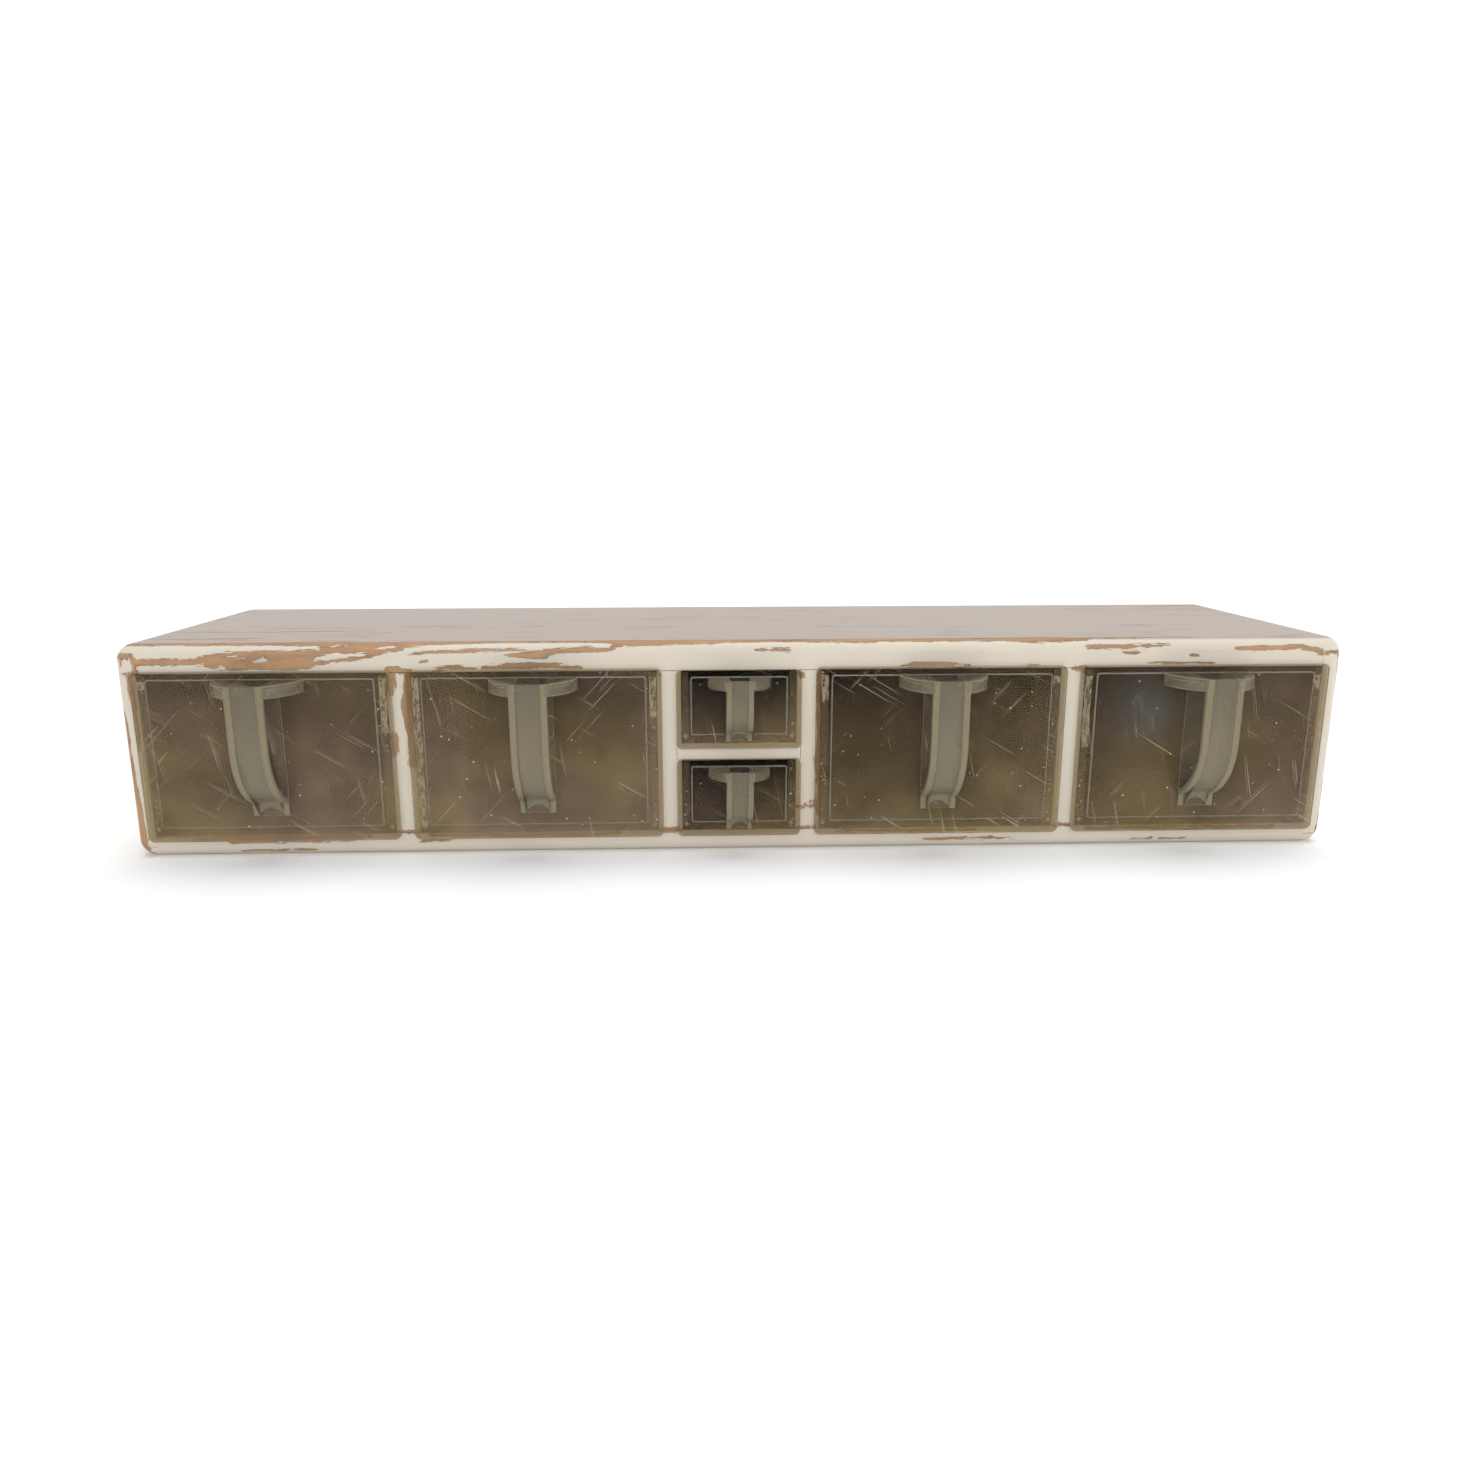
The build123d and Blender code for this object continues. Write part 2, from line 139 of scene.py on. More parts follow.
STROKES = [
    # along the top edge
    [(-344, 126.4, 1.0), (-310, 126.6, 1.9), (-262, 126.4, 2.0), (-236, 126.0, 2.4)],
    [(-236, 125.4, 2.8), (-206, 124.6, 3.4), (-178, 125.6, 2.8), (-146, 126.6, 1.6)],
    [(-146, 126.7, 1.4), (-118, 126.8, 0.9), (-76, 126.2, 1.5), (-60, 125.0, 3.0),
     (-30, 125.6, 2.4), (8, 126.2, 1.6), (54, 126.2, 1.8), (66, 125.6, 2.4),
     (90, 126.2, 1.7), (150, 125.8, 2.0), (172, 125.4, 2.6), (200, 125.8, 1.6)],
    [(200, 127.0, 0.8), (226, 127.2, 1.0), (262, 127.4, 0.5)],
    # the wide patch over the first drawer and its tail
    [(-337, 114.6, 1.9), (-318, 114.4, 1.9), (-302, 114.6, 2.4), (-292, 115.2, 4.6),
     (-275, 115.4, 5.4), (-257, 115.2, 5.6), (-243, 116.0, 5.2)],
    [(-243, 116.4, 5.0), (-232, 118.0, 4.6), (-214, 119.4, 3.8), (-202, 120.8, 3.0)],
    [(-202, 121.2, 2.6), (-192, 121.6, 2.0), (-186, 119.0, 1.0), (-174, 119.4, 0.7),
     (-150, 120.2, 0.8), (-121, 120.4, 0.7)],
    [(-131, 117.2, 0.6), (-120, 117.6, 1.6), (-111, 117.8, 2.4), (-104, 119.6, 1.7)],
    [(-104, 119.8, 1.6), (-86, 120.2, 1.7), (-74, 120.4, 1.2), (-68, 123.0, 1.6)],
    # low patches against the openings
    [(-199, 108.4, 1.6), (-193, 109.4, 1.9), (-187, 108.4, 1.4)],
    [(-172, 109.6, 1.0), (-160, 110.6, 1.5), (-149, 109.6, 1.0)],
    [(-145, 110.0, 1.2), (-128, 111.4, 1.9), (-104, 111.4, 1.8), (-90, 109.8, 1.2)],
    [(93, 109.4, 0.8), (102, 110.6, 1.7), (112, 110.8, 1.8), (122, 110.2, 1.3), (132, 109.6, 0.9)],
    [(166, 109.4, 0.7), (172, 108.8, 0.6)],
    [(236, 110.3, 0.3), (256, 110.3, 0.8), (275, 110.1, 0.5)],
    [(192, 107.6, 1.0), (199, 108.2, 1.2)],
    # spots
    [(9, 119.4, 0.3), (14, 119.5, 0.7)],
    [(18, 119.5, 0.8), (28.5, 119.4, 0.9)],
    [(200, 120.2, 1.1), (222, 119.8, 1.2), (238, 120.6, 0.7), (249, 120.9, 0.3)],
    [(221, 116.4, 0.5), (226, 116.6, 0.9), (230, 116.5, 0.5)],
    [(259.5, 114.6, 0.4), (264.5, 114.5, 0.4)],
    [(-180, 114.0, 0.5), (-176, 115.0, 0.7)],
    # the right corner
    [(287, 118.6, 0.9), (310, 118.8, 1.1), (323, 119.6, 1.4), (332, 117.6, 1.7),
     (339, 115.4, 1.2), (346, 116.0, 0.7), (349, 113.0, 1.4), (350, 108.0, 1.2)],
    # the left corner
    [(-351, 117.2, 1.2), (-346, 118.0, 1.5), (-339, 117.6, 1.6), (-337.6, 112.0, 1.5),
     (-338.0, 108.6, 1.6), (-345, 108.2, 0.9)],
    [(-346.4, 116.4, 1.0), (-346.0, 112.6, 0.5)],
    # left side board
    [(-350.6, 108, 0.9), (-350.4, 98, 0.7), (-350.2, 89, 1.3), (-349.6, 84, 2.2),
     (-348.9, 72, 3.0), (-349.2, 62, 2.6), (-348.7, 52, 3.3), (-348.5, 40, 3.4),
     (-348.1, 27, 3.8), (-347.5, 14, 4.3), (-347, 6, 5)],
    [(-341.6, 108, 2.0), (-341.3, 96, 1.9), (-341.0, 80, 1.3), (-341.2, 64, 0.5)],
    # first divider
    [(-197.0, 108, 3.2), (-196.6, 101, 2.6), (-197.2, 96, 1.6)],
    [(-187.0, 108, 2.4), (-188.2, 104, 0.8)],
    [(-187.6, 104, 1.4), (-188.4, 95, 3.0), (-188.6, 85, 3.2), (-188.0, 74, 2.3)],
    [(-197.2, 72, 2.2), (-197.4, 66, 2.0), (-197.8, 60, 1.4)],
    [(-188.0, 74, 1.2), (-187.6, 64, 2.6), (-187.4, 54, 2.2)],
    [(-198, 13.8, 1.2), (-187, 13.9, 1.2)],
    # second divider
    [(-46, 13.8, 1.2), (-34, 14.0, 1.3)],
    [(-44, 12.4, 1.2), (-37, 12.6, 1.5)],
    [(-46.6, 106.5, 0.9), (-44.8, 105.8, 0.5)],
    # third divider
    [(34.2, 106.4, 1.4), (36, 104.6, 1.6)],
    [(46.0, 106, 1.0), (45.6, 97, 1.7), (46.2, 88, 1.0), (45.7, 80, 1.6)],
    [(46.2, 80, 0.9), (46.2, 63, 0.8), (45.4, 55, 1.9), (46.2, 47, 1.0), (46.3, 22, 0.8)],
    [(33.6, 26.6, 0.7), (38, 26.2, 1.0), (43.6, 27.0, 0.8)],
    [(38, 26.2, 0.7), (41, 29.6, 0.6), (44.6, 29.8, 0.6)],
    [(34, 13.8, 0.9), (45, 13.9, 1.0)],
    # fourth divider
    [(194.6, 107.2, 1.3), (198.8, 106.4, 1.6)],
    [(187, 13.6, 0.7), (197, 13.7, 0.8)],
    # right side board
    [(349.6, 108, 1.2), (350.4, 86, 0.6), (350.6, 70, 0.9)],
    [(349.0, 40, 0.5), (349.8, 22, 1.0), (348.4, 8, 1.6)],
    # bottom board
    [(-352, 10, 2.4), (-348, 3.0, 3.2), (-343.6, 0.5, 2.6)],
    [(-336, 13.4, 1.0), (-300, 13.2, 0.8), (-250, 13.4, 1.4), (-214, 13.2, 0.8)],
    [(-318, 10.8, 0.8), (-282, 11.2, 1.6), (-240, 11.0, 1.7), (-216, 11.2, 1.0)],
    [(-296, 8.4, 0.6), (-286, 8.5, 0.8), (-279, 8.6, 0.5), (-254, 8.5, 0.6), (-226, 8.8, 0.4)],
    [(-290, 2.4, 0.8), (-276, 2.6, 0.9), (-263, 2.8, 0.9)],
    [(-259, 2.8, 0.8), (-253, 3.2, 1.2), (-248, 2.8, 0.9)],
    [(-186, 8.2, 0.8), (-176, 8.6, 1.0), (-169, 8.8, 0.8)],
    [(-180, 11.4, 1.0), (-150, 11.8, 1.4), (-110, 11.4, 1.6), (-70, 11.6, 0.9)],
    [(110, 5.4, 0.5), (124, 5.8, 0.9), (139, 5.4, 0.6), (150, 5.8, 0.9), (165, 5.5, 0.5)],
    [(56, 11.4, 0.7), (92, 11.6, 1.1), (140, 11.2, 0.8)],
    [(234, 4.0, 0.5), (247, 4.2, 0.7)],
    [(252, 3.4, 0.6), (268, 3.8, 0.8)],
    [(206, 11.4, 0.8), (262, 11.6, 1.2), (320, 11.2, 0.9)],
    [(349, 4.0, 1.4), (344, 0.6, 1.2)],
]
ISLANDS = [
    [(-335.5, 111.2, 1.3), (-318, 111.5, 1.2), (-300, 112.6, 0.5)],
    [(-286, 117.9, 0.7), (-281, 118.3, 0.6)],
    [(-279, 116.0, 0.5), (-276.6, 116.2, 0.5)],
    [(-273, 114.2, 0.9), (-265.5, 116.4, 1.3)],
    [(-291, 111.9, 0.4), (-289, 112.1, 0.4)],
    [(-239, 115.4, 1.0), (-226, 117.6, 1.9), (-210, 118.6, 0.8)],
    [(-275, 121.6, 0.8), (-252, 121.6, 1.0), (-232, 122.0, 0.6)],
    [(-228, 123.6, 0.6), (-220, 124.2, 0.6)],
    [(-203, 121.8, 0.7), (-193, 123.4, 0.9)],
    [(-190, 118.6, 1.6), (-181, 121.4, 1.8), (-168, 122.8, 1.2), (-120, 123.0, 1.1)],
    [(-120, 123.2, 1.0), (-84, 123.2, 0.9), (-76, 123.4, 0.5)],
    [(-141, 111.0, 0.5), (-136, 111.3, 0.5)],
    [(-101, 111.4, 0.4), (-94, 111.3, 0.5)],
    [(-343.0, 116.0, 1.3), (-342.4, 110.4, 1.8)],
    [(124, 109.4, 0.4), (127, 109.5, 0.4)],
    [(-193.6, 106.6, 0.4), (-192.6, 103.4, 1.6), (-192.4, 96, 2.4)],
    [(-342.6, 9.0, 0.9), (-339.6, 5.0, 1.9), (-336.6, 6.8, 1.2)],
]


def colour(name, description, default):
    """A colour that can be changed in the panel."""
    return bpy.props.FloatVectorProperty(
        name=name, description=description, subtype="COLOR", default=default
    )


def length(name, description, default):
    """A length that can be changed in the panel. default is in millimetres."""
    return bpy.props.FloatProperty(
        name=name, description=description, subtype="DISTANCE", unit="LENGTH",
        default=default * MM, precision=5,
    )


class OrganizerPaint(bpy.types.PropertyGroup):
    cream: colour("Paint", "Colour of the paint", (0.635, 0.575, 0.485))
    # The dusty colour is dust on the top faces and also painted shade: it is dark enough to stand for
    # the top being less lit than the front.
    dusty: colour(
        "Dusty Paint", "Colour of the paint where dust has settled on it", (0.33, 0.27, 0.235)
    )
    # The inside colour is unpainted wood darkened well below the bare wood, as painted shade inside
    # the cells.
    inside: colour("Inside", "Colour of the unpainted wood inside the case", (0.11, 0.072, 0.045))
    wood: colour("Bare Wood", "Colour of the wood under the paint", (0.475, 0.285, 0.155))
    wood_dark: colour("Wood Grain", "Colour of the wood's darker grain", (0.30, 0.165, 0.085))
    raggedness: length("Raggedness", "How far the chipped edges wander", 2.8)
    edge_round: length("Edge Rounding", "Width of the boards' worn edges", 0.35)


class OrganizerPlastic(bpy.types.PropertyGroup):
    plate_tint: colour("Plate Tint", "Colour of the clear front plates", (0.74, 0.71, 0.63))
    tray_tint: colour("Tray Tint", "Colour of the clear trays", (0.62, 0.52, 0.38))
    edge_tint: colour("Edge Tint", "Colour of scuffed plastic edges", (0.54, 0.50, 0.41))
    haze: bpy.props.FloatProperty(
        name="Haze", description="Strength of the dust on the clear plastic", subtype="FACTOR",
        min=0, max=1, default=1.0,
    )
    edge_wear: bpy.props.FloatProperty(
        name="Edge Wear", description="How dull the clear plastic's edges are", subtype="FACTOR",
        min=0, max=1, default=0.36,
    )
    dull: colour("Dull Colour", "Colour of scratched and dusty plastic", (0.40, 0.29, 0.205))
    dull_olive: colour("Dull Olive", "Second colour of the dusty plastic", (0.42, 0.315, 0.165))
    bead_tint: colour("Bead Tint", "Colour of the handles' thick beads", (0.29, 0.25, 0.155))
    web_tint: colour("Web Tint", "Colour of the handles' thin webs", (0.27, 0.235, 0.16))
    plate_round: length("Plate Rounding", "Rounding of the front plates' edges", 0.35)
    panel_line: length("Panel Line", "Width of the worn line round the raised panels", 0.25)
    handle_round: length("Handle Rounding", "Rounding of the handles' edges", 0.55)
    cement_thickness: length("Cement", "Thickness of the cement between plate and tray", 0.3)


class OrganizerStage(bpy.types.PropertyGroup):
    camera_place: bpy.props.FloatVectorProperty(
        name="Camera Place", description="Where the camera stands", subtype="TRANSLATION",
        unit="LENGTH", default=(-0.0244, -0.6834, 0.2110),
    )
    camera_turn: bpy.props.FloatVectorProperty(
        name="Camera Turn", description="Pitch down, roll and turn to the right",
        subtype="EULER", unit="ROTATION",
        default=(math.radians(12.952), math.radians(0.117), math.radians(1.767)),
    )
    lens: bpy.props.FloatProperty(
        name="Lens", description="Focal length on a 36 mm sensor", subtype="DISTANCE_CAMERA",
        default=26.23,
    )
    key: bpy.props.FloatProperty(
        name="Key Light", description="Power of the large light above the camera", subtype="POWER",
        default=5.0,
    )
    overhead: bpy.props.FloatProperty(
        name="Overhead Light", description="Strength of the light from above", min=0, default=1.5,
    )
    sky: bpy.props.FloatProperty(
        name="Sky", description="Strength of the light from all round", default=1.0
    )
    zenith: bpy.props.FloatProperty(
        name="Zenith", description="Strength of the light from straight above", default=0.5
    )


# ---- modelling helpers


def deselect():
    """Leaves edit mode with nothing selected."""
    if bpy.context.object and bpy.context.object.mode != "OBJECT":
        bpy.ops.object.mode_set(mode="OBJECT")
    bpy.ops.object.select_all(action="DESELECT")


def take(piece):
    """Makes piece the one that the operators act on."""
    deselect()
    piece.select_set(True)
    bpy.context.view_layer.objects.active = piece


def edit(piece, kind="VERT"):
    """Opens piece in edit mode with nothing selected."""
    take(piece)
    bpy.ops.object.mode_set(mode="EDIT")
    bpy.ops.mesh.select_mode(type=kind)
    bpy.ops.mesh.select_all(action="DESELECT")


def close_edit():
    """Leaves edit mode."""
    bpy.ops.object.mode_set(mode="OBJECT")


def from_node(node, name):
    """A piece in the shape of a CAD node, with its triangles merged into whole faces."""
    piece = NODES[node].copy()
    piece.data = NODES[node].data.copy()
    piece.name = name
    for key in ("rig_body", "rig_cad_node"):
        del piece[key]
    piece.parent = None
    bpy.context.scene.collection.objects.link(piece)
    edit(piece)
    bpy.ops.mesh.customdata_custom_splitnormals_clear()
    bpy.ops.mesh.select_all(action="SELECT")
    bpy.ops.mesh.remove_doubles(threshold=1e-6)
    bpy.ops.mesh.dissolve_limited(angle_limit=FLAT)
    bpy.ops.mesh.normals_make_consistent(inside=False)
    close_edit()
    piece.data.materials.clear()
    return piece


def sharp_edges(piece):
    """The indices of the sharp edges between two faces."""
    normals = {}
    for face in piece.data.polygons:
        for key in face.edge_keys:
            normals.setdefault(key, []).append(face.normal)
    sharp = set()
    for edge in piece.data.edges:
        pair = normals.get(edge.key, [])
        if len(pair) == 2 and pair[0].angle(pair[1], 0) > SHARP:
            sharp.add(edge.index)
    return sharp


def round_edges(piece, width, segments, shortest):
    """Bevels the sharp edges that are longer than shortest, in millimetres."""
    edit(piece, "EDGE")
    close_edit()
    sharp = sharp_edges(piece)
    places = [v.co / MM for v in piece.data.vertices]
    for edge in piece.data.edges:
        start, end = (places[i] for i in edge.vertices)
        edge.select = edge.index in sharp and (start - end).length > shortest
    bpy.ops.object.mode_set(mode="EDIT")
    bpy.ops.mesh.bevel(
        offset=width, segments=segments, profile=0.5, affect="EDGES", clamp_overlap=False
    )
    close_edit()


def slice_at(axis, place, **more):
    """Bisects all that shows in edit mode, at place in millimetres along axis 0, 1 or 2."""
    point, normal = [0, 0, 0], [0, 0, 0]
    point[axis], normal[axis] = place * MM, 1
    bpy.ops.mesh.select_all(action="SELECT")
    bpy.ops.mesh.bisect(plane_co=point, plane_no=normal, threshold=1e-7, **more)


def cut_front(piece, low, high, steps):
    """Cuts a board's front strip into a fine grid. steps is (axis, millimetres) pairs."""
    strip_end = FRONT_Y + ROUND + STRIP
    edit(piece)
    for nearer in (0, 4, 6, 7.5):
        slice_at(1, strip_end - nearer)
    close_edit()
    for face in piece.data.polygons:
        face.select = face.center.y / MM > strip_end
    bpy.ops.object.mode_set(mode="EDIT")
    bpy.ops.mesh.hide(unselected=False)
    for axis, step in steps:
        run = high[axis] - low[axis]
        count = round(run / step)
        for i in range(count):
            slice_at(axis, low[axis] + run * (i + 0.5) / count)
    bpy.ops.mesh.reveal(select=False)
    close_edit()


def smooth(piece, angle=30):
    """Shades piece smooth, up to angle degrees."""
    take(piece)
    bpy.ops.object.shade_smooth_by_angle(angle=math.radians(angle))


def finish_piece(piece, body, slot, material, *replaced):
    """Gives a piece its finish and body, and hides the CAD nodes that it stands for."""
    piece.data.materials.append(material)
    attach(piece, body)
    if replaced:
        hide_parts(*replaced)


def join(pieces, name):
    """Makes one piece of several, in place."""
    deselect()
    for piece in pieces:
        piece.select_set(True)
    bpy.context.view_layer.objects.active = pieces[0]
    bpy.ops.object.join()
    joined = bpy.context.object
    joined.name = name
    bpy.ops.object.transform_apply()
    return joined


def mark_points(piece, name, value):
    """Stores value(vertex) on each of piece's vertices."""
    marks = piece.data.attributes.new(name, "FLOAT", "POINT")
    for vertex, stored in zip(piece.data.vertices, marks.data):
        stored.value = value(vertex)


def sheet(columns, rows, place=(0, 0, 0), width=1000, height=1000):
    """An upright sheet of columns by rows faces across Y, with its sizes in millimetres."""
    deselect()
    bpy.ops.mesh.primitive_grid_add(
        x_subdivisions=columns, y_subdivisions=rows, size=1,
        location=[value * MM for value in place], rotation=(math.pi / 2, 0, 0),
    )
    made = bpy.context.object
    made.scale = (width * MM, height * MM, 1)
    bpy.ops.object.transform_apply()
    return made


def thicken(piece, thickness, side):
    """Makes a solid of a sheet, towards one side (1 or -1) or both (0)."""
    take(piece)
    solid = piece.modifiers.new("thickness", "SOLIDIFY")
    solid.thickness = thickness * MM
    solid.offset = side
    bpy.ops.object.modifier_apply(modifier="thickness")
    edit(piece)
    bpy.ops.mesh.select_all(action="SELECT")
    bpy.ops.mesh.normals_make_consistent(inside=False)
    close_edit()


def cement_strip(x, low, high, width, thick, draw, frosted):
    """A film of cement on a tray wall's front end, squeezed out unevenly at both sides."""
    place = (x, PLATE_BACK + thick * 0.06, (low + high) / 2)
    strip = sheet(2, round((high - low) / 1.5), place, width, high - low)
    waves = [(draw.uniform(0.12, 0.5), draw.uniform(0, 6.3), draw.uniform(0.1, 0.3)) for _ in range(4)]
    for vertex in strip.data.vertices:
        z = vertex.co.z / MM
        side = (vertex.co.x / MM - x) / (width / 2)
        wave = sum(size * math.sin(z * turn + start + side) for turn, start, size in waves)
        vertex.co.x += side * wave * 0.5 * MM

    def airy(vertex):
        z = vertex.co.z / MM
        return max([min((z - a) / 2, (b - z) / 2, 1.0) for a, b in frosted] + [0.0])

    mark_points(strip, "airy", airy)
    thicken(strip, thick * 0.85, 1 if strip.data.polygons[0].normal.y > 0 else -1)
    return strip


def toe_web(middle, half, side_z, top_z, back_y):
    """The web's foot between the beads' toes, with an arch cut up into its lower edge."""
    foot = sheet(12, 4)
    rise = (top_z - side_z) * 0.55
    for vertex in foot.data.vertices:
        across, up = vertex.co.x * 2, vertex.co.z + 0.5
        bottom = side_z + rise * (1 - across**2)
        vertex.co.x = (middle + half * across) * MM
        vertex.co.z = (bottom + (top_z - bottom) * up) * MM
        vertex.co.y = (back_y - 0.5 - 0.8 * up) * MM
    thicken(foot, 0.9, 0)
    return foot


def bubble(x, z, size, thick):
    """A flat round bubble in the cement."""
    deselect()
    bpy.ops.mesh.primitive_uv_sphere_add(
        segments=10, ring_count=6, radius=1,
        location=(x * MM, (PLATE_BACK + thick / 2) * MM, z * MM),
    )
    bpy.context.object.scale = (size * MM, thick * 0.42 * MM, size * 1.15 * MM)
    return bpy.context.object


# ---- wear


def along_round(value, edge, places_y):
    """A coordinate that runs on round the front edge, from the flat front to the face behind."""
    inside = np.clip((np.abs(value) - (edge - ROUND)) / ROUND, 0, 1)
    angle = np.arcsin(inside)
    length = np.where(np.abs(value) > edge - ROUND, edge - ROUND + ROUND * angle, np.abs(value))
    behind = np.clip(places_y - (FRONT_Y + ROUND), 0, None)
    length = length + np.where(np.abs(value) > edge - 0.05, behind, 0)
    return np.sign(value) * length


def stroke_depth(across, up, stroke):
    """How far inside a stroke each point lies, in millimetres; below zero is outside it."""
    best = np.full(across.shape, -9.0)
    for (x0, z0, w0), (x1, z1, w1) in zip(stroke, stroke[1:]):
        run = (x1 - x0) ** 2 + (z1 - z0) ** 2
        t = np.clip(((across - x0) * (x1 - x0) + (up - z0) * (z1 - z0)) / run, 0, 1)
        distance = np.hypot(across - x0 - t * (x1 - x0), up - z0 - t * (z1 - z0))
        best = np.maximum(best, w0 + (w1 - w0) * t - distance)
    return best


def worn_depth(across, up):
    """How far each point lies inside the bare wood; below zero is painted."""
    bare = np.full(across.shape, PAINTED)
    for stroke in STROKES:
        bare = np.maximum(bare, stroke_depth(across, up, stroke))
    for island in ISLANDS:
        bare = np.minimum(bare, -stroke_depth(across, up, island))
    return np.maximum(bare, PAINTED)


def paint_wear(piece):
    """Stores on every face corner how far it lies inside bare wood, in millimetres."""
    mesh = piece.data
    places = np.zeros(len(mesh.vertices) * 3)
    mesh.vertices.foreach_get("co", places)
    places = places.reshape(-1, 3) / MM
    x, y, z = places.T
    across = along_round(x, HALF_WIDTH, y)
    up = along_round(z - TOP_Z / 2, TOP_Z / 2, y) + TOP_Z / 2
    wear = np.where(y > FRONT_Y + ROUND + STRIP, PAINTED, worn_depth(across, up))
    deep, wide, high = RABBET
    corners = mesh.attributes.new("bare", "FLOAT", "CORNER")
    values = np.zeros(len(mesh.loops))
    for face in mesh.polygons:
        centre = face.center / MM
        inner = (
            abs(centre.x) < CELL_HALF_WIDTH + 0.5
            and CELL_BOTTOM - 0.5 < centre.z < CELL_TOP + 0.5
            and abs(face.normal.y) < 0.4
        )
        hidden = (
            centre.y > BACK_Y - deep
            and abs(centre.x) < CELL_HALF_WIDTH + wide
            and CELL_BOTTOM - high < centre.z < CELL_TOP + high
        )
        for loop, vertex in zip(face.loop_indices, face.vertices):
            if inner:
                values[loop] = max(wear[vertex], min(y[vertex] - FRONT_Y - 4.0, STRIPPED))
            elif hidden:
                values[loop] = STRIPPED
            else:
                values[loop] = wear[vertex]
    corners.data.foreach_set("value", values)


def mark_faces(piece, name, wanted):
    """Stores 1 on the corners of each face for which wanted(face) holds, and 0 elsewhere."""
    marks = piece.data.attributes.new(name, "FLOAT", "CORNER")
    values = np.zeros(len(piece.data.loops))
    for face in piece.data.polygons:
        values[list(face.loop_indices)] = 1.0 if wanted(face) else 0.0
    marks.data.foreach_set("value", values)


# ---- materials


class Finish:
    """A material under construction: adds nodes and joins them up."""

    def __init__(self, name):
        self.material = bpy.data.materials.new(name)
        self.material.use_nodes = True
        self.tree = self.material.node_tree
        self.shader = self.tree.nodes["Principled BSDF"]
        self.surface = self.shader.outputs[0]
        self.output = self.tree.nodes["Material Output"]
        self.place = self.add("ShaderNodeTexCoord").outputs["Object"]

    def add(self, kind, inputs=None, **settings):
        """Adds a node, sets its settings and joins or sets its inputs."""
        node = self.tree.nodes.new(kind)
        for name, value in settings.items():
            setattr(node, name, value)
        for socket, value in (inputs or {}).items():
            self.put(node.inputs[socket], value)
        return node

    def put(self, socket, value):
        """Joins a socket to another one, or sets it."""
        if isinstance(value, bpy.types.NodeSocket):
            self.tree.links.new(value, socket)
        elif socket.type == "RGBA":
            socket.default_value = (*value, 1)
        else:
            socket.default_value = value

    def set(self, **values):
        """Sets or joins the main shader's sockets, with underscores for spaces."""
        for name, value in values.items():
            self.put(self.shader.inputs[name.replace("_", " ")], value)

    def math(self, operation, first, second=0.0, third=0.0, clamp=False):
        node = self.add("ShaderNodeMath", {0: first, 1: second}, operation=operation)
        node.use_clamp = clamp
        if operation == "MULTIPLY_ADD":
            self.put(node.inputs[2], third)
        return node.outputs[0]

    def times(self, first, second, clamp=False):
        return self.math("MULTIPLY", first, second, clamp=clamp)

    def scaled(self, value, factor, offset, clamp=False):
        """value times factor, plus offset."""
        return self.math("MULTIPLY_ADD", value, factor, offset, clamp)

    def larger(self, first, second):
        return self.math("MAXIMUM", first, second)

    def step(self, value, low, high, out_low=0.0, out_high=1.0):
        """Runs smoothly from out_low to out_high as value goes from low to high."""
        inputs = {"Value": value, 1: low, 2: high, 3: out_low, 4: out_high}
        node = self.add("ShaderNodeMapRange", inputs, interpolation_type="SMOOTHSTEP")
        return node.outputs["Result"]

    def parts(self, vector):
        """The outputs of a node that takes vector apart."""
        return self.add("ShaderNodeSeparateXYZ", {0: vector}).outputs

    def stretched(self, scale):
        """The place on the piece, in units that differ along X, Y and Z."""
        return self.add("ShaderNodeMapping", {"Vector": self.place, "Scale": scale}).outputs[0]

    def noise(self, scale, detail, rough, warp=0.0, at=None):
        """Noise at a scale per metre: one number, or one for each of X, Y and Z."""
        if not isinstance(scale, float):
            at, scale = self.stretched(scale), 1.0
        inputs = {"Vector": at or self.place, "Scale": scale, "Detail": detail}
        inputs.update({"Roughness": rough, "Distortion": warp})
        return self.add("ShaderNodeTexNoise", inputs).outputs["Fac"]

    def spots(self, vector, scale):
        """Distance to scattered points, and a random value for each of them."""
        node = self.add("ShaderNodeTexVoronoi", {"Vector": vector, "Scale": scale})
        colours = self.add("ShaderNodeSeparateColor", {"Color": node.outputs["Color"]})
        return node.outputs["Distance"], colours.outputs[0]

    def mix(self, amount, first, second):
        inputs = {"Factor": amount, 6: first, 7: second}
        return self.add("ShaderNodeMix", inputs, data_type="RGBA").outputs[2]

    def attribute(self, name):
        return self.add("ShaderNodeAttribute", attribute_name=name).outputs["Fac"]

    def bump(self, height, distance, strength=1.0):
        inputs = {"Height": height, "Distance": distance, "Strength": strength}
        return self.add("ShaderNodeBump", inputs).outputs[0]

    def blend(self, amount, other):
        """Mixes another shader into the surface, by amount."""
        mixed = self.add("ShaderNodeMixShader", {0: amount, 1: self.surface, 2: other.outputs[0]})
        self.surface = mixed.outputs[0]
        self.put(self.output.inputs["Surface"], self.surface)

    def cover(self, amount, colour):
        """Lays a matt film over the main shader, as dense as amount says."""
        self.blend(amount, self.add("ShaderNodeBsdfDiffuse", {"Color": colour}))

    def see_through_for_shadows(self, colour):
        """Lets light pass straight through, tinted, so that what lies behind is lit."""
        ray = self.add("ShaderNodeLightPath").outputs
        lighting = self.larger(ray["Is Shadow Ray"], ray["Is Diffuse Ray"])
        self.blend(lighting, self.add("ShaderNodeBsdfTransparent", {"Color": colour}))


